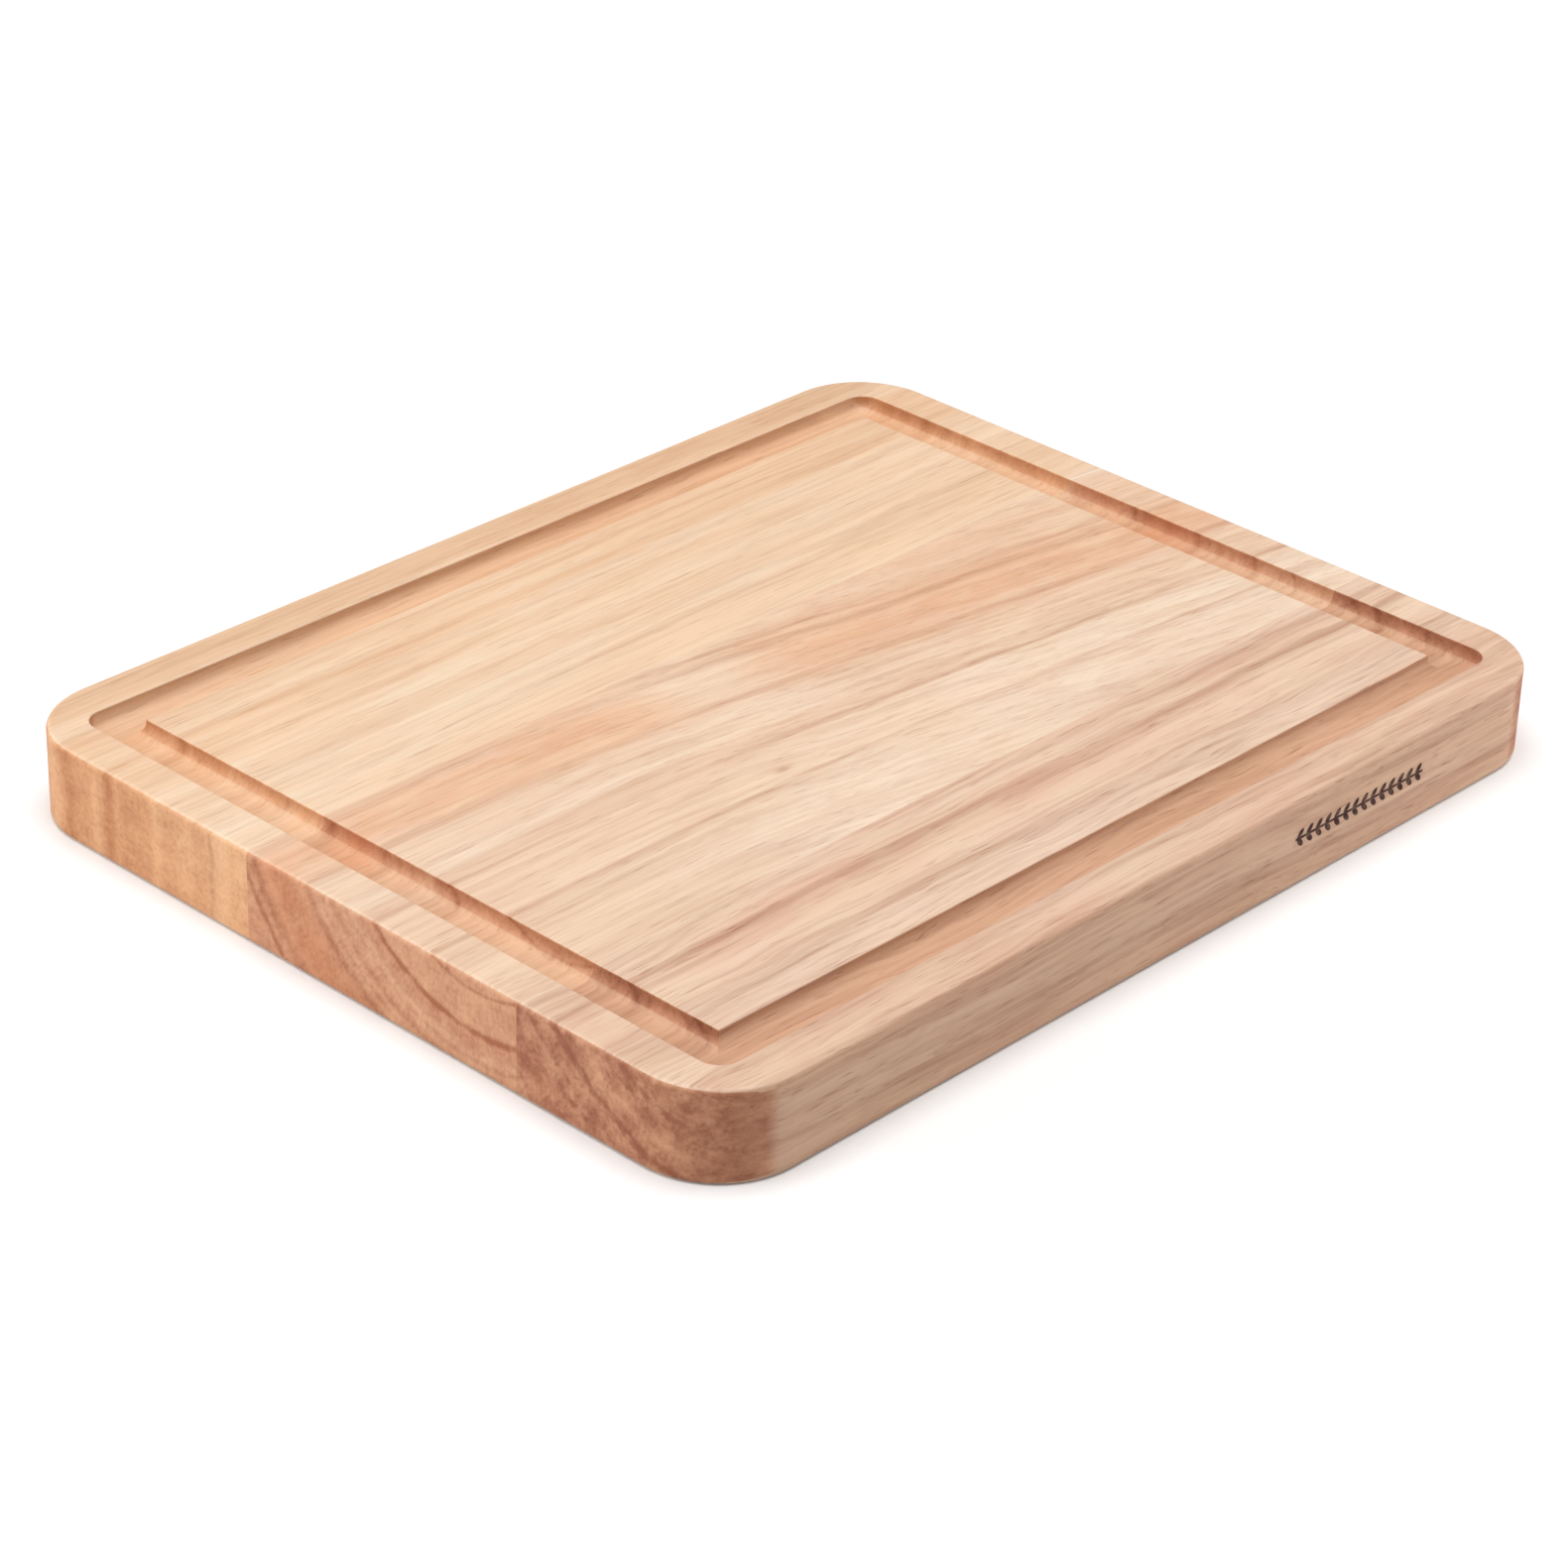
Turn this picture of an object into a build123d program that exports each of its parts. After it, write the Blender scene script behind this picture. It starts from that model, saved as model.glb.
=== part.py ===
"""Edge-glued hardwood cutting board with a juice groove, all sizes in millimetres.

The board is three solid staves, glued edge to edge, with the grain of all three along X.
The origin is at the centre of the underside: +X runs along the grain, +Y across it,
and +Z points up to the grooved cutting face.
"""

import os

from build123d import *

# Board blank
LENGTH = 254.0
WIDTH = 203.2
THICKNESS = 20.5
CORNER_RADIUS = 19.4
EDGE_RADIUS = 1.2

# Juice groove: a flat-bottomed bowl cutter is run round a rectangle, set in from the edges
CUTTER_RADIUS = 4.75
CUTTER_CORNER_RADIUS = 2.8
GROOVE_DEPTH = 3.4
GROOVE_INSET = 15.24
LIP_RADIUS = 0.35

# The two glue lines, by their distance from the board's middle line
FRONT_GLUE_LINE = -49.0
BACK_GLUE_LINE = 27.1

# Each stave, with the two planes that bound it across the board
STAVES = {
    "front_stave": (-WIDTH / 2, FRONT_GLUE_LINE),
    "middle_stave": (FRONT_GLUE_LINE, BACK_GLUE_LINE),
    "back_stave": (BACK_GLUE_LINE, WIDTH / 2),
}

end_run = LENGTH / 2 - GROOVE_INSET
side_run = WIDTH / 2 - GROOVE_INSET
floor_height = THICKNESS - GROOVE_DEPTH

# What the cutter clears: sharp inside corners, and outside corners as round as the cutter
with BuildPart() as groove:
    with BuildLine(Plane.XY.offset(floor_height)):
        Polyline(
            (0, -side_run),
            (end_run, -side_run),
            (end_run, side_run),
            (-end_run, side_run),
            (-end_run, -side_run),
            close=True,
        )
    with BuildSketch(Plane((0, -side_run, floor_height), x_dir=(0, 1, 0), z_dir=(1, 0, 0))) as cutter:
        Rectangle(2 * CUTTER_RADIUS, 2 * GROOVE_DEPTH, align=(Align.CENTER, Align.MIN))
        fillet(cutter.vertices().group_by(Axis.Z)[0], CUTTER_CORNER_RADIUS)
    sweep(transition=Transition.ROUND)

# The board as it is machined, with its three staves already glued up
with BuildPart() as board:
    with BuildSketch():
        RectangleRounded(LENGTH, WIDTH, CORNER_RADIUS)
    extrude(amount=THICKNESS)
    underside, *_, cutting_face = board.faces().sort_by(Axis.Z)
    fillet(underside.edges() + cutting_face.edges(), EDGE_RADIUS)
    add(groove.part, mode=Mode.SUBTRACT)
    groove_lips = board.edges(Select.LAST).group_by(Axis.Z)[-1]
    fillet(groove_lips, LIP_RADIUS)

os.makedirs("parts", exist_ok=True)

for name, (front_plane, back_plane) in STAVES.items():
    with BuildPart() as stave:
        add(board.part)
        with BuildSketch():
            with Locations((0, (front_plane + back_plane) / 2)):
                Rectangle(LENGTH, back_plane - front_plane)
        extrude(amount=THICKNESS, mode=Mode.INTERSECT)
    stave.part.label = name
    export_step(stave.part, f"parts/{name}.step")
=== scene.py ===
"""Looks of the grooved cutting board: solid wood on its three staves, a studio and a camera.

Blender's own lengths are metres. Inside the wood, lengths are millimetres and colours are
display colours of 0 to 255 a channel.
"""

import math
from types import SimpleNamespace

import bpy
from mathutils import Matrix, Vector


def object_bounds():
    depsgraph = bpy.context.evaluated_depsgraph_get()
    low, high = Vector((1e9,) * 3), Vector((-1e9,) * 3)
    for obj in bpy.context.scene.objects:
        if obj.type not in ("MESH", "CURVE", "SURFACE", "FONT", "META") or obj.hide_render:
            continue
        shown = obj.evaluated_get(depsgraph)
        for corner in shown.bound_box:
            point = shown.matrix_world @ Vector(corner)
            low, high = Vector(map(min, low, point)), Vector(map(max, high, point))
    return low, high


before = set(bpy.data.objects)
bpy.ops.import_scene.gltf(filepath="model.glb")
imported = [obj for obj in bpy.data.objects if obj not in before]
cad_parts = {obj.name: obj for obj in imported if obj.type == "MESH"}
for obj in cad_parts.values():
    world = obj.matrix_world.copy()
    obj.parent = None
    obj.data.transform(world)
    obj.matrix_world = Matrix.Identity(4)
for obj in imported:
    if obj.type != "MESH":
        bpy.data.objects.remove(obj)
cad_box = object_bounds()

MM = 0.001
LOW, HIGH = (Vector(corner) for corner in cad_box)
LENGTH, WIDTH, _ = (HIGH - LOW) / MM
TOP = HIGH.z / MM


# ---------------------------------------------------------------- camera

FRAME_SIDE = 1581
SENSOR_WIDTH = 36.0
FOCAL_PIXELS = 4730.15
CLIP_START = 0.01
AZIMUTH = math.radians(-47.0033)
ELEVATION = math.radians(29.3218)
ROLL = math.radians(1.7162)
DISTANCE = 0.982933
PAN_RIGHT = -0.002735
PAN_UP = -0.0024135


def add_camera():
    """A camera that looks at the board from one corner, panned and rolled a little."""
    back = Vector(
        (
            math.sin(AZIMUTH) * math.cos(ELEVATION),
            -math.cos(AZIMUTH) * math.cos(ELEVATION),
            math.sin(ELEVATION),
        )
    )
    right = Vector((math.cos(AZIMUTH), math.sin(AZIMUTH), 0.0))
    up = back.cross(right)
    place = back * DISTANCE + right * PAN_RIGHT + up * PAN_UP
    rolled_right = right * math.cos(ROLL) + up * math.sin(ROLL)
    rolled_up = up * math.cos(ROLL) - right * math.sin(ROLL)
    data = bpy.data.cameras.new("camera")
    data.sensor_width = SENSOR_WIDTH
    data.lens = FOCAL_PIXELS / FRAME_SIDE * SENSOR_WIDTH
    data.clip_start = CLIP_START
    camera = bpy.data.objects.new("camera", data)
    axes = Matrix((rolled_right, rolled_up, back)).transposed().to_4x4()
    camera.matrix_world = Matrix.Translation(place) @ axes
    bpy.context.scene.collection.objects.link(camera)
    bpy.context.scene.camera = camera


# ---------------------------------------------------------------- shader nodes


class Nodes:
    """Adds nodes to one material. Most methods return an output socket."""

    def __init__(self, material):
        material.use_nodes = True
        self.tree = material.node_tree
        self.tree.nodes.clear()

    def add(self, kind, inputs=(), **settings):
        node = self.tree.nodes.new(kind)
        for name, value in settings.items():
            setattr(node, name, value)
        for key, value in dict(inputs).items():
            self.feed(node.inputs[key], value)
        return node

    def feed(self, socket, value):
        if isinstance(value, bpy.types.NodeSocket):
            self.tree.links.new(value, socket)
        else:
            socket.default_value = value

    def finish(self, shader_inputs):
        """Ends the material in one Principled shader."""
        shader = self.add("ShaderNodeBsdfPrincipled", shader_inputs)
        self.add("ShaderNodeOutputMaterial", {"Surface": shader.outputs[0]})

    def math(self, operation, *values, clamp=False):
        node = self.add("ShaderNodeMath", operation=operation, use_clamp=clamp)
        for socket, value in zip(node.inputs, values):
            self.feed(socket, value)
        return node.outputs[0]

    def total(self, *values):
        result = values[0]
        for value in values[1:]:
            result = self.math("ADD", result, value)
        return result

    def times(self, *values):
        result = values[0]
        for value in values[1:]:
            result = self.math("MULTIPLY", result, value)
        return result

    def weighted(self, *pairs):
        """The sum of the values, each multiplied by its own weight."""
        return self.total(*(self.times(value, weight) for value, weight in pairs))

    def less(self, value, amount):
        return self.math("SUBTRACT", value, amount)

    def ramp(self, value, low, high, out_low=0.0, out_high=1.0):
        """A smooth step from out_low to out_high as value goes from low to high."""
        node = self.add(
            "ShaderNodeMapRange",
            {0: value, 1: low, 2: high, 3: out_low, 4: out_high},
            interpolation_type="SMOOTHSTEP",
        )
        return node.outputs[0]

    def bell(self, value, centre, width):
        """1 where value is centre, falling to nothing about twice width away."""
        offset = self.math("DIVIDE", self.less(value, centre), width)
        return self.math("EXPONENT", self.times(offset, offset, -1.0))

    def vector(self, x, y, z):
        return self.add("ShaderNodeCombineXYZ", {0: x, 1: y, 2: z}).outputs[0]

    def scaled(self, values, scales):
        """A vector of three values, each multiplied by its own scale."""
        return self.vector(*(self.times(value, scale) for value, scale in zip(values, scales)))

    def noise(self, vector, detail=2.0, roughness=0.5):
        inputs = {"Vector": vector, "Scale": 1.0, "Detail": detail, "Roughness": roughness}
        return self.add("ShaderNodeTexNoise", inputs).outputs[0]

    def noise_along(self, position, scale):
        inputs = {"W": position, "Scale": scale, "Detail": 2.0, "Roughness": 0.5}
        return self.add("ShaderNodeTexNoise", inputs, noise_dimensions="1D").outputs[0]

    def random(self, number):
        node = self.add("ShaderNodeTexWhiteNoise", {"W": number}, noise_dimensions="1D")
        return node.outputs[0]

    def mix(self, factor, first, second, blend="MIX"):
        """The first colour, with factor of the second mixed in, or multiplied in."""
        node = self.add("ShaderNodeMix", data_type="RGBA", blend_type=blend)
        sockets = (node.inputs[0], node.inputs[6], node.inputs[7])
        for socket, value in zip(sockets, (factor, first, second)):
            self.feed(socket, value)
        return node.outputs[2]


def linear(red, green, blue):
    """The shader's colour for a display colour of 0 to 255 a channel."""

    def channel(value):
        value /= 255
        return value / 12.92 if value <= 0.04045 else ((value + 0.055) / 1.055) ** 2.4

    return (channel(red), channel(green), channel(blue), 1.0)


# ---------------------------------------------------------------- wood

# How fast each noise changes, in cycles a millimetre along the board, across it and up
SWAY_SCALE = (0.012, 0.02, 0.02)
RIPPLE_SCALE = (0.04, 0.11, 0.11)
MOTTLE_SCALE = (0.035, 0.07, 0.07)
BLOTCH_SCALE = (0.04, 0.15, 0.15)

# The same along the board, and across and up from the pith
FIBRE_SCALE = (0.03, 0.95, 0.95)
STREAK_SCALE = (0.011, 0.3, 0.3)
PORE_SCALE = (0.11, 2.1, 2.1)

# Cycles a radian round the pith, and a millimetre outwards and along the board
RAY_SCALE = (90.0, 0.09, 0.2)

# Cycles a millimetre outwards from the pith
RING_STRETCH_SCALE = 0.13

# Cycles a millimetre along the board and outwards from the pith, and for each unit of the seed
DRIFT_SCALE = (0.004, 0.085, 1.0)

# The noise at which each pattern begins to show, and at which it is at its strongest
FIBRE_STEP = (0.38, 0.72)
STREAK_STEP = (0.4, 0.7)
PORE_STEP = (0.62, 0.74)
MOTTLE_STEP = (0.35, 0.65)
BLOTCH_STEP = (0.34, 0.68)
RAY_STEP = (0.35, 0.7)
DRIFT_STEP = (0.36, 0.64)

# How bands and lines thin out: two levels of noise, and the strength left at each
BAND_THINNING = (0.3, 0.6, 0.65, 1.15)
LINE_THINNING = (0.3, 0.6, 0.5, 1.15)

# Where the grain begins to bend, the bend comes in over this length
BEND_BLEND = 40.0

# A ring darkens from this share of its width on. Chance makes some rings fainter: two levels
# of a random number, and the ring's strength at each
RING_START = 0.25
RING_CHANCE = (0.1, 1.0, 0.2, 1.0)

# A surface takes the end's look as it turns towards an end, later if it also faces up or down,
# and the long sides' painted shade as it turns towards a long side: where that begins, and where
# it's full
UPRIGHT_SHARE = -0.5
END_STEP = (0.16, 0.34)
END_SOFT_STEP = (0.25, 0.75, 0.75, 1.0)
SIDE_STEP = (0.5, 0.95)

# The groove, which takes painted shade: where its tint begins and where it's full, inwards from
# the board's edges and down from the cutting face, and where it stops below the groove
GROOVE_INWARDS = (6.0, 9.0)
GROOVE_DOWNWARDS = (0.05, 0.5)
GROOVE_DEEPEST = (8.0, 7.0)

# The end's look is weaker by this share in the groove, and pores by this share on the ends
GROOVE_END_SHARE = -0.3
END_PORE_SHARE = -0.5

# How far the mottled tint goes, and how dark rays and the darkest wood are
TINT_STRENGTH = 0.55
RAY_DEPTH = 0.1
DEEPEST = 0.95
DEEPEST_BLEND = 0.4

# The oiled surface: its roughness and relief, and what each pattern adds to them
ROUGHNESS = 0.5
FIBRE_ROUGHNESS, PORE_ROUGHNESS, END_ROUGHNESS, BURN_ROUGHNESS = 0.16, 0.1, 0.08, 0.3
FIBRE_HEIGHT, PORE_HEIGHT, RING_HEIGHT, STREAK_HEIGHT, BURN_HEIGHT = 0.5, -0.9, -0.35, 0.4, -1.6
RELIEF = {"Strength": 0.35, "Distance": 0.00012}
OIL_IOR = 1.45

# The burnt sprig: its two ends along the board, its height, and its leaves
SPRIG_START, SPRIG_STOP, SPRIG_HEIGHT = 38.0, 80.0, 11.1
LEAF_PITCH, LEAF_OUTWARD = 3.0, 1.0
LEAF_HALF_LENGTH, LEAF_HALF_WIDTH = 1.3, 0.66
DIAGONAL = 0.707
LEAF_EDGE = (1.25, 0.75)
STEM_EDGE = (0.4, 0.24)
SPRIG_FACING = (-0.97, -0.99)
BURN_SCALE = (0.5, 0.0, 0.7)
BURN_PATCHES = (0.3, 0.6, 0.8, 1.0)
BURN_COLOUR = (50, 4, 0)
SCORCH_WIDTH, SCORCH_STRENGTH = 1.9, 0.22
SCORCH_COLOUR = (120, 72, 48)


def fibre_space(n, stave):
    """Places in the board, and across and up from the tree's pith, which bends with the grain."""
    split = n.add("ShaderNodeSeparateXYZ", {0: n.add("ShaderNodeTexCoord").outputs["Object"]})
    place = [n.math("DIVIDE", split.outputs[i], MM) for i in range(3)]
    x, y, z = place
    sway = n.less(n.noise(n.scaled(place, SWAY_SCALE), detail=1.0), 0.5)
    ripple = n.less(n.noise(n.scaled(place, RIPPLE_SCALE), detail=1.0), 0.5)
    bend = n.math("SMOOTH_MAX", n.total(x, stave["bend_start"]), 0.0, BEND_BLEND)
    slope_y, slope_z = stave["slope"]
    shift_y = n.weighted((bend, slope_y), (sway, stave["sway"]), (ripple, stave["ripple"]))
    shift_z = n.weighted((bend, slope_z), (sway, stave["sway"]))
    pith_y, pith_z = stave["pith"]
    across = n.less(n.less(y, pith_y), shift_y)
    up = n.less(n.less(z, pith_z), shift_z)
    return place, across, up


def bands(n, value, features):
    """The sum of bands of given centre, width and strength."""
    if not features:
        return 0.0
    return n.weighted(
        *((n.bell(value, centre, width), strength) for centre, width, strength in features)
    )


def spots(n, place, features):
    """Soft spots of given centre, length, width and strength, drawn out along the grain."""
    if not features:
        return 0.0
    parts = []
    for centre, length, width, strength in features:
        offsets = [
            n.math("DIVIDE", n.less(value, middle), reach)
            for value, middle, reach in zip(place, centre, (length, width, width))
        ]
        square = n.weighted(*zip(offsets, offsets))
        parts.append((n.math("EXPONENT", n.times(square, -1.0)), strength))
    return n.weighted(*parts)


def in_groove(n, place):
    """1 on the cut surfaces of the juice groove, where painted shade darkens the wood."""
    x, y, z = place
    inside = [
        n.ramp(n.math("ABSOLUTE", value), *(extent / 2 - inset for inset in GROOVE_INWARDS))
        for value, extent in ((x, LENGTH), (y, WIDTH))
    ]
    sunk = n.ramp(z, *(TOP - depth for depth in GROOVE_DOWNWARDS))
    above = n.ramp(z, *(TOP - depth for depth in GROOVE_DEEPEST))
    return n.times(*inside, sunk, above)


def find_faces(n, place):
    """Which way the surface faces: masks of the end grain, the long sides and the groove. The long
    sides and the groove take painted shade.
    """
    normal = n.add("ShaderNodeSeparateXYZ", {0: n.add("ShaderNodeNewGeometry").outputs["Normal"]})
    lengthwise, crosswise, upright = (n.math("ABSOLUTE", output) for output in normal.outputs)
    groove = in_groove(n, place)
    tilt = n.math("MULTIPLY_ADD", upright, UPRIGHT_SHARE, lengthwise)
    end = n.times(
        n.ramp(tilt, *END_STEP),
        n.ramp(tilt, *END_SOFT_STEP),
        n.math("MULTIPLY_ADD", groove, GROOVE_END_SHARE, 1.0),
    )
    side = n.times(n.ramp(crosswise, *SIDE_STEP), n.less(1.0, groove))
    return SimpleNamespace(end=end, side=side, groove=groove, normal_y=normal.outputs[1])


def find_rings(n, stave, radius):
    """Growth rings: each one rises slowly to a dark line and drops away faster."""
    unevenness = n.less(n.noise_along(radius, RING_STRETCH_SCALE), 0.5)
    stretch = n.times(unevenness, stave["unevenness"])
    ring = n.math("DIVIDE", n.total(radius, stretch), stave["ring"])
    within = n.math("FRACT", ring)
    line_start = 1.0 - stave["ring_edge"]
    rise = n.ramp(within, RING_START, line_start)
    late_wood = n.times(rise, n.ramp(within, 1.0, line_start))
    chance = n.random(n.total(n.math("FLOOR", ring), stave["seed"]))
    return n.times(late_wood, n.ramp(chance, *RING_CHANCE))


def find_grain(n, stave, place, across, up):
    """Every pattern of the grain, long along the board and round on its ends."""
    x = place[0]
    fibre_place = (x, across, up)
    radius = n.math("SQRT", n.weighted((across, across), (up, up)))
    angle = n.math("ARCTAN2", across, up)
    pores = n.noise(n.scaled(fibre_place, PORE_SCALE), detail=1.0)
    drift_place = n.scaled((x, radius, stave["seed"]), DRIFT_SCALE)
    return SimpleNamespace(
        radius=radius,
        fibres=n.noise(n.scaled(fibre_place, FIBRE_SCALE), detail=4.0, roughness=0.65),
        streaks=n.noise(n.scaled(fibre_place, STREAK_SCALE), detail=3.0, roughness=0.6),
        pores=n.ramp(pores, *PORE_STEP),
        mottle=n.noise(n.scaled(place, MOTTLE_SCALE), detail=3.0, roughness=0.6),
        blotches=n.noise(n.scaled(place, BLOTCH_SCALE), detail=3.0, roughness=0.65),
        rays=n.noise(n.scaled((angle, radius, x), RAY_SCALE)),
        rings=find_rings(n, stave, radius),
        drift=n.ramp(n.noise(drift_place, detail=3.0, roughness=0.55), *DRIFT_STEP),
    )


def find_tone(n, stave, place, faces, grain):
    """How warm the wood is: broad bands that follow the rings, and patches here and there. One
    patch is painted light, paler high up on the front stave's long side.
    """
    thinning = n.ramp(grain.mottle, *BAND_THINNING)
    fading = n.less(1.0, bands(n, place[0], stave["fades"]))
    broad = n.times(bands(n, grain.radius, stave["bands"]), n.times(thinning, fading))
    patches = n.times(spots(n, place, stave["patches"]), n.less(1.0, faces.end))
    drift = n.times(grain.drift, stave["drift"])
    return n.math("ADD", n.total(drift, patches), broad, clamp=True)


def find_depth(n, stave, place, faces, grain, tone):
    """How dark the wood is, from rings, fibres, streaks, pores, growth lines and flecks. One fleck
    is painted shade, darker along the bottom of the front stave's long side.
    """
    pore_depth = n.math(
        "MULTIPLY_ADD", faces.end, END_PORE_SHARE * stave["pore_depth"], stave["pore_depth"]
    )
    lines = n.times(
        n.times(bands(n, grain.radius, stave["lines"]), n.ramp(grain.streaks, *LINE_THINNING)),
        n.math("MULTIPLY_ADD", faces.end, stave["end_lines"], 1.0),
    )
    anywhere = n.total(
        n.times(grain.rings, stave["ring_depth"]),
        n.times(n.ramp(grain.fibres, *FIBRE_STEP), stave["fibre_depth"]),
        n.times(n.ramp(grain.streaks, *STREAK_STEP), stave["streak_depth"]),
        n.times(grain.pores, pore_depth),
        lines,
        spots(n, place, stave["flecks_and_shade"]),
    )
    on_end = n.weighted(
        (n.ramp(grain.blotches, *BLOTCH_STEP), stave["end_blotch"]),
        (n.ramp(grain.rays, *RAY_STEP), RAY_DEPTH),
        (tone, stave["end_tone"]),
    )
    depth = n.total(anywhere, n.times(faces.end, on_end))
    return n.math("SMOOTH_MIN", depth, DEEPEST, DEEPEST_BLEND)


def find_colour(n, stave, place, faces, grain):
    """The wood's colour, without the burnt mark, with painted shade on the long sides and in the
    groove.
    """
    tone = find_tone(n, stave, place, faces, grain)
    depth = find_depth(n, stave, place, faces, grain, tone)
    tinting = n.ramp(grain.mottle, *MOTTLE_STEP, 0.0, TINT_STRENGTH)
    colour = n.mix(tone, linear(*stave["light"]), linear(*stave["warm"]))
    colour = n.mix(tinting, colour, linear(*stave["tint"]))
    colour = n.mix(depth, colour, linear(*stave["dark"]))
    colour = n.mix(faces.end, colour, linear(*stave["end_tint"]), blend="MULTIPLY")
    # Painted shade, multiplied in on the long sides and in the groove
    colour = n.mix(faces.side, colour, linear(*stave["side_shade_tint"]), blend="MULTIPLY")
    return n.mix(faces.groove, colour, linear(*stave["groove_shade_tint"]), blend="MULTIPLY")


def between(n, value, start, stop, softness, overshoot):
    """1 from start to stop, with soft ends that reach overshoot beyond them."""
    return n.times(
        n.ramp(value, start - overshoot, start - overshoot + softness),
        n.ramp(value, stop + overshoot, stop + overshoot - softness),
    )


def sprig(n, place, normal_y):
    """A small burnt sprig of paired leaves on the long side: its burn, and the scorch round it."""
    x, _, z = place
    rise = n.math("ABSOLUTE", n.less(z, SPRIG_HEIGHT))
    cell = n.math("FRACT", n.math("DIVIDE", n.less(x, SPRIG_START), LEAF_PITCH))
    run = n.times(n.less(cell, 0.5), LEAF_PITCH)
    outward = n.less(rise, LEAF_OUTWARD)
    lengthwise = n.times(n.total(run, outward), DIAGONAL / LEAF_HALF_LENGTH)
    crosswise = n.times(n.less(run, outward), DIAGONAL / LEAF_HALF_WIDTH)
    leaf = n.ramp(n.weighted((lengthwise, lengthwise), (crosswise, crosswise)), *LEAF_EDGE)
    stem = n.ramp(rise, *STEM_EDGE)
    within = between(n, x, SPRIG_START, SPRIG_STOP, softness=0.2, overshoot=0.1)
    facing = n.ramp(normal_y, *SPRIG_FACING)
    patches = n.noise(n.scaled(place, BURN_SCALE), detail=3.0, roughness=0.6)
    burn = n.times(n.math("MAXIMUM", leaf, stem), within, facing, n.ramp(patches, *BURN_PATCHES))
    around = between(n, x, SPRIG_START, SPRIG_STOP, softness=2.0, overshoot=1.5)
    scorch = n.times(n.bell(rise, 0.0, SCORCH_WIDTH), around, facing)
    return burn, scorch


def wood(name, stave, mark):
    """The material of one stave, with the burnt sprig on its long side if mark is true."""
    material = bpy.data.materials.new(name)
    n = Nodes(material)
    place, across, up = fibre_space(n, stave)
    faces = find_faces(n, place)
    grain = find_grain(n, stave, place, across, up)
    colour = find_colour(n, stave, place, faces, grain)
    roughness = n.total(
        ROUGHNESS,
        n.times(grain.fibres, FIBRE_ROUGHNESS),
        n.times(grain.pores, PORE_ROUGHNESS),
        n.times(faces.end, END_ROUGHNESS),
    )
    height = n.weighted(
        (grain.fibres, FIBRE_HEIGHT),
        (grain.pores, PORE_HEIGHT),
        (grain.rings, RING_HEIGHT),
        (grain.streaks, STREAK_HEIGHT),
    )
    if mark:
        burn, scorch = sprig(n, place, faces.normal_y)
        colour = n.mix(n.times(scorch, SCORCH_STRENGTH), colour, linear(*SCORCH_COLOUR))
        colour = n.mix(burn, colour, linear(*BURN_COLOUR))
        roughness = n.total(roughness, n.times(burn, BURN_ROUGHNESS))
        height = n.total(height, n.times(burn, BURN_HEIGHT))
    relief = n.add("ShaderNodeBump", {"Height": height, **RELIEF}).outputs[0]
    n.finish({"Base Color": colour, "Roughness": roughness, "Normal": relief, "IOR": OIL_IOR})
    return material
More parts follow.
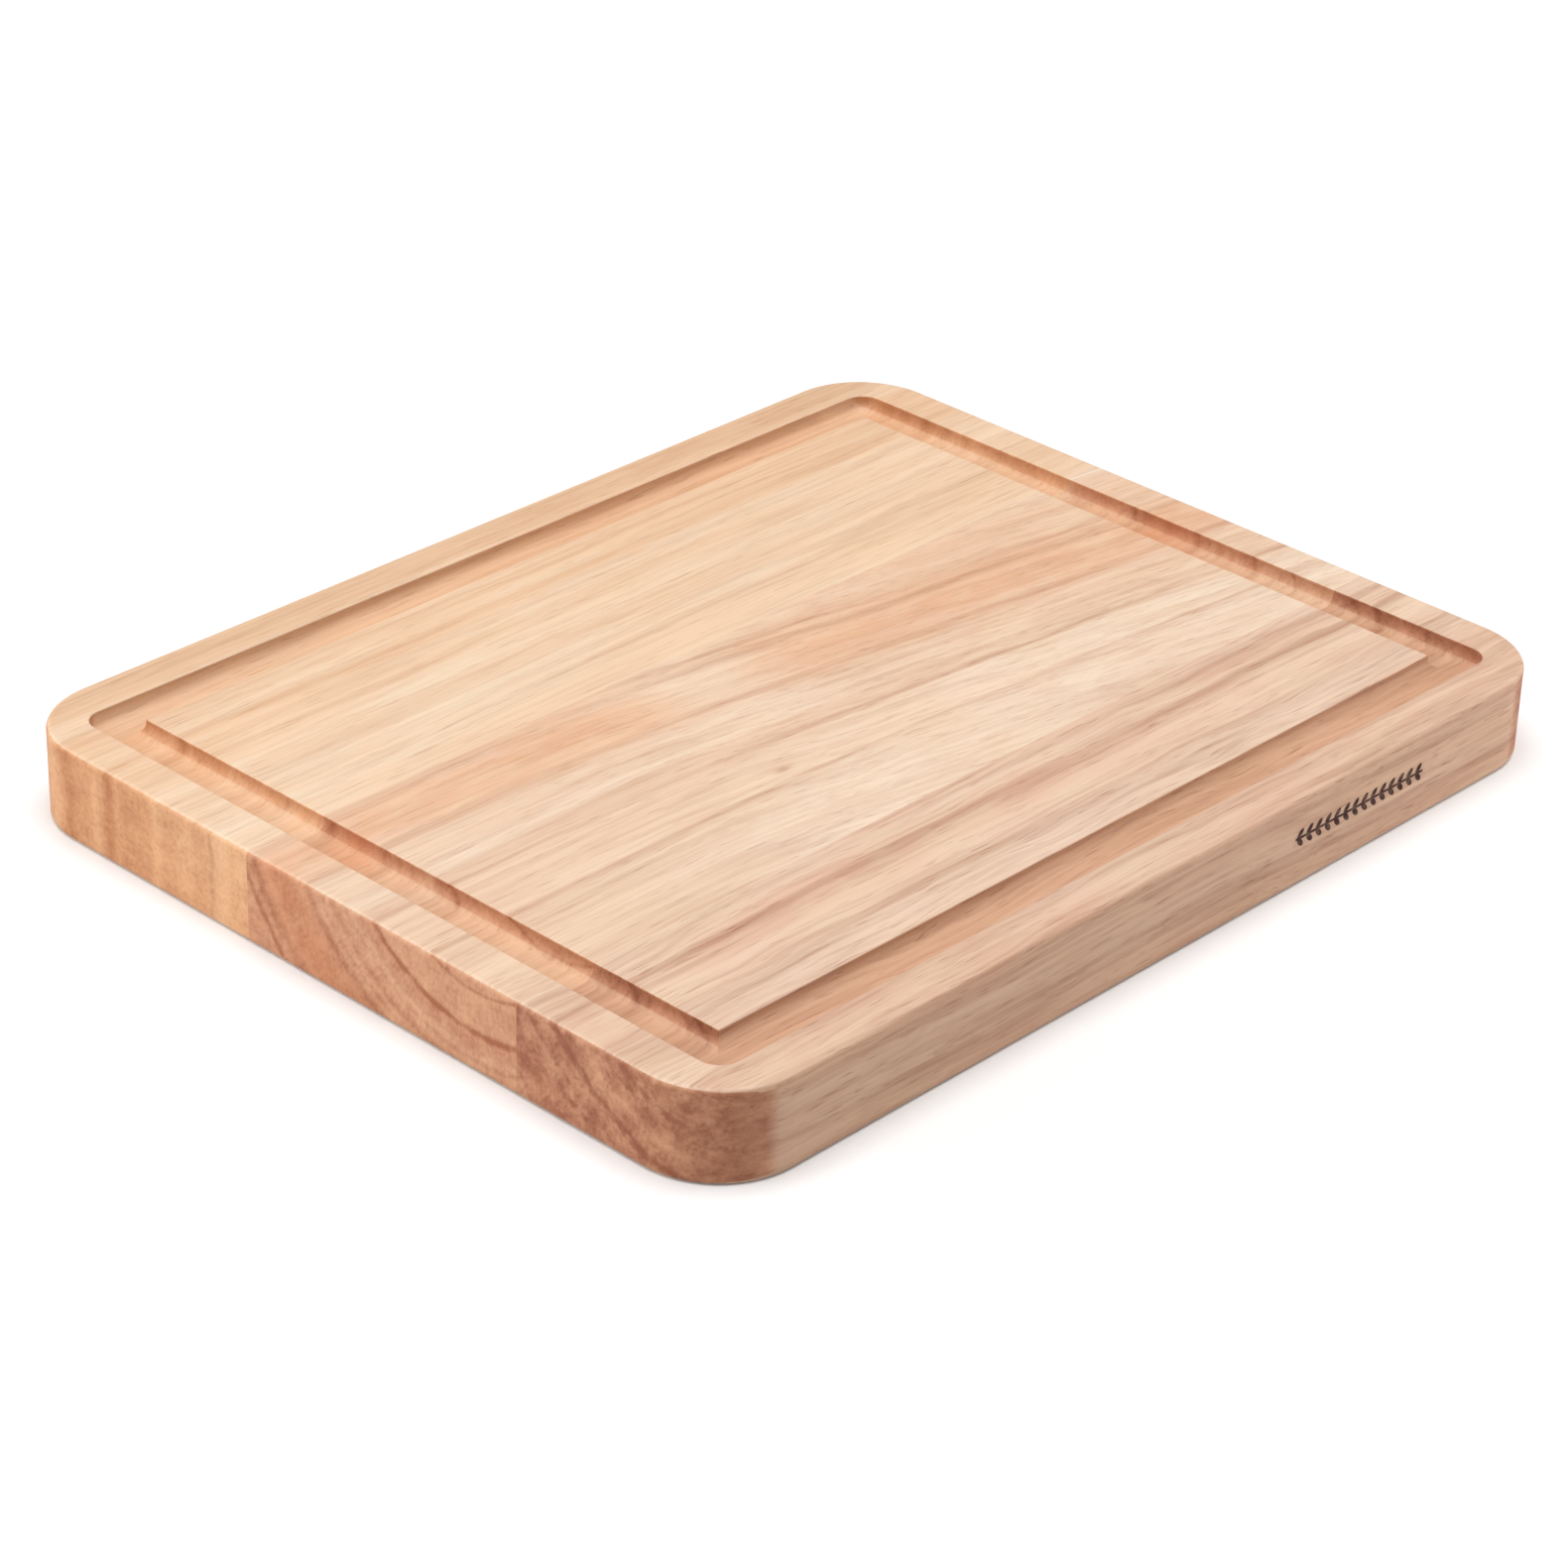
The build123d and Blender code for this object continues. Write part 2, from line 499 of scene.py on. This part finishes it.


# Each stave's wood:
# - pith is the tree's middle, across and up. From bend_start before the board's middle it moves
#   across and up by slope for each millimetre of length. sway and ripple are how far it wanders.
# - ring is the width of a growth ring, unevenness how far rings are out of place, and
#   ring_edge the share of a ring in which its dark line drops away.
# - light, warm, tint and dark are the wood's colours. end_tint is multiplied in on the end grain;
#   the long sides' and the groove's tints are painted shade, multiplied in on those surfaces.
# - *_depth, drift, end_blotch, end_tone and end_lines are the strengths of the patterns.
# - bands are warm and lines dark: (radius from the pith, width, strength). fades weaken the
#   bands: (place along the board, width, strength).
# - patches are warm and flecks dark: (centre, length, width, strength). On the front stave's long
#   side, one pale patch is painted light and one dark fleck is painted shade.
# - A line, patch or fleck with a strength below nothing makes the wood paler.
STAVES = {
    "front_stave": {
        "pith": (-114.0, 74.0),
        "slope": (-0.03, -0.02),
        "bend_start": 30.0,
        "sway": 5.0,
        "ripple": 3.4,
        "ring": 4.6,
        "ring_edge": 0.12,
        "unevenness": 6.0,
        "seed": 3.0,
        "light": (228, 201, 178),
        "warm": (214, 176, 150),
        "tint": (223, 196, 168),
        "dark": (150, 96, 68),
        "end_tint": (238, 201, 178),
        "side_shade_tint": (236, 221, 210),
        "groove_shade_tint": (236, 214, 199),
        "ring_depth": 0.2,
        "fibre_depth": 0.27,
        "streak_depth": 0.16,
        "pore_depth": 0.3,
        "drift": 1.0,
        "end_blotch": 0.5,
        "end_tone": 0.15,
        "bands": [],
        "fades": [],
        "lines": [
            (82.3, 0.7, 0.16),
            (77.0, 0.7, 0.2),
            (66.0, 0.8, 0.14),
            (72.4, 1.3, -0.2),
            (84.5, 1.0, 0.12),
        ],
        "end_lines": 0.5,
        "patches": [
            ((-121.0, -66.0, 20.5), 9.0, 16.0, 0.65),
            # Paler high up on the right part of the long side: painted light
            ((92.0, -101.6, 17.0), 60.0, 5.0, -0.6),
        ],
        # Darker along the bottom of the long side: painted shade by the floor
        "flecks_and_shade": [((70.0, -101.6, 2.0), 110.0, 5.0, 0.12)],
    },
    "middle_stave": {
        "pith": (-38.0, 50.0),
        "slope": (-0.16, -0.075),
        "bend_start": 50.0,
        "sway": 3.0,
        "ripple": 1.6,
        "ring": 6.5,
        "ring_edge": 0.15,
        "unevenness": 8.0,
        "seed": 11.0,
        "light": (230, 209, 186),
        "warm": (218, 166, 130),
        "tint": (229, 202, 173),
        "dark": (164, 108, 74),
        "end_tint": (245, 213, 191),
        "side_shade_tint": (255, 255, 255),
        "groove_shade_tint": (244, 226, 212),
        "ring_depth": 0.1,
        "fibre_depth": 0.22,
        "streak_depth": 0.15,
        "pore_depth": 0.25,
        "drift": 0.35,
        "end_blotch": 0.2,
        "end_tone": 0.15,
        "bands": [(63.5, 8.0, 1.0), (80.0, 8.0, 0.35), (50.0, 2.5, 0.25)],
        "fades": [(-14.0, 16.0, 0.75)],
        "lines": [
            (31.8, 0.4, 0.16),
            (40.9, 0.7, 0.36),
            (42.8, 1.6, 0.08),
            (47.2, 0.7, 0.08),
            (50.3, 0.9, 0.09),
            (53.0, 0.7, 0.08),
            (55.9, 1.2, 0.14),
            (67.0, 1.0, -0.05),
            (70.0, 1.6, 0.16),
            (73.4, 0.8, 0.28),
        ],
        "end_lines": 1.1,
        "patches": [],
        "flecks_and_shade": [((-28.0, -22.0, 20.5), 2.2, 0.9, 0.45)],
    },
    "back_stave": {
        "pith": (250.0, 5.0),
        "slope": (0.0, 0.0),
        "bend_start": 0.0,
        "sway": 2.5,
        "ripple": 1.0,
        "ring": 7.0,
        "ring_edge": 0.35,
        "unevenness": 9.0,
        "seed": 29.0,
        "light": (228, 204, 177),
        "warm": (222, 183, 148),
        "tint": (230, 197, 166),
        "dark": (168, 118, 80),
        "end_tint": (254, 224, 196),
        "side_shade_tint": (255, 255, 255),
        "groove_shade_tint": (248, 233, 221),
        "ring_depth": 0.08,
        "fibre_depth": 0.24,
        "streak_depth": 0.13,
        "pore_depth": 0.25,
        "drift": 0.6,
        "end_blotch": 0.15,
        "end_tone": 0.3,
        "bands": [(168.0, 2.2, 0.7), (180.8, 1.8, 0.7), (177.0, 10.0, 0.4), (153.5, 5.0, 0.7)],
        "fades": [],
        "lines": [
            (153.5, 4.0, 0.05),
            (168.0, 1.4, 0.05),
            (176.0, 1.6, -0.04),
            (180.8, 1.4, 0.06),
            (195.0, 1.6, -0.05),
            (206.0, 1.4, -0.04),
            (212.6, 0.8, 0.07),
            (218.0, 4.0, -0.06),
        ],
        "end_lines": 2.5,
        "patches": [],
        "flecks_and_shade": [
            ((-75.0, 33.0, 20.5), 5.0, 0.7, 0.3),
            ((0.0, 96.5, 20.5), 500.0, 4.0, 0.13),
        ],
    },
}
MARKED_STAVE = "front_stave"


# ---------------------------------------------------------------- studio

FLOOR_HALF = 2.5
FLOOR_GAP = 0.0001
FLOOR_COLOUR = (0.78, 0.78, 0.78, 1.0)
FLOOR_ROUGHNESS = 0.9
FLOOR_GLOW = 0.07
WHITE = (1.0, 1.0, 1.0, 1.0)
SKY_STRENGTH = 0.1


def add_floor():
    """A plain pale floor that the board lies on."""
    mesh = bpy.data.meshes.new("floor")
    corners = [
        (x * FLOOR_HALF, y * FLOOR_HALF, 0) for x, y in ((-1, -1), (1, -1), (1, 1), (-1, 1))
    ]
    mesh.from_pydata(corners, [], [(0, 1, 2, 3)])
    floor = bpy.data.objects.new("floor", mesh)
    floor.location.z = LOW.z - FLOOR_GAP
    bpy.context.scene.collection.objects.link(floor)
    material = bpy.data.materials.new("floor_paper")
    Nodes(material).finish(
        {
            "Base Color": FLOOR_COLOUR,
            "Roughness": FLOOR_ROUGHNESS,
            "Emission Color": WHITE,
            "Emission Strength": FLOOR_GLOW,
        }
    )
    mesh.materials.append(material)


def add_light(data, place, target, power):
    """Hangs a light at one place, pointing at another, and hides it from the camera."""
    data.energy = power
    light = bpy.data.objects.new(data.name, data)
    direction = Vector(target) - Vector(place)
    light.rotation_euler = direction.to_track_quat("-Z", "Y").to_euler()
    light.location = place
    light.visible_camera = False
    bpy.context.scene.collection.objects.link(light)


def add_sun(name, place, strength, spread):
    data = bpy.data.lights.new(name, "SUN")
    data.angle = math.radians(spread)
    add_light(data, place, (0, 0, 0), strength)


def add_softbox(name, place, target, side, power):
    data = bpy.data.lights.new(name, "AREA")
    data.shape = "SQUARE"
    data.size = side
    add_light(data, place, target, power)


def add_studio():
    """A dim white sky, the floor, a light overhead and a softbox at each side."""
    scene = bpy.context.scene
    scene.view_settings.view_transform = "Standard"
    scene.world = bpy.data.worlds.new("studio")
    scene.world.use_nodes = True
    sky = scene.world.node_tree.nodes["Background"].inputs
    sky["Color"].default_value = WHITE
    sky["Strength"].default_value = SKY_STRENGTH
    add_floor()
    add_sun("overhead", place=(0.0, -0.04, 1.0), strength=3.2, spread=50.0)
    add_softbox(
        "left_softbox", place=(-0.87, 0.58, 0.36), target=(-0.127, 0.0, 0.01), side=0.83, power=6.6
    )
    add_softbox(
        "right_softbox", place=(0.36, -0.36, 0.07), target=(0.1, -0.1, 0.01), side=0.12, power=0.65
    )


add_camera()
add_studio()
for node_name, stave in STAVES.items():
    material = wood(node_name.replace("stave", "wood"), stave, mark=node_name == MARKED_STAVE)
    for material_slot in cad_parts[node_name].material_slots:
        material_slot.material = material
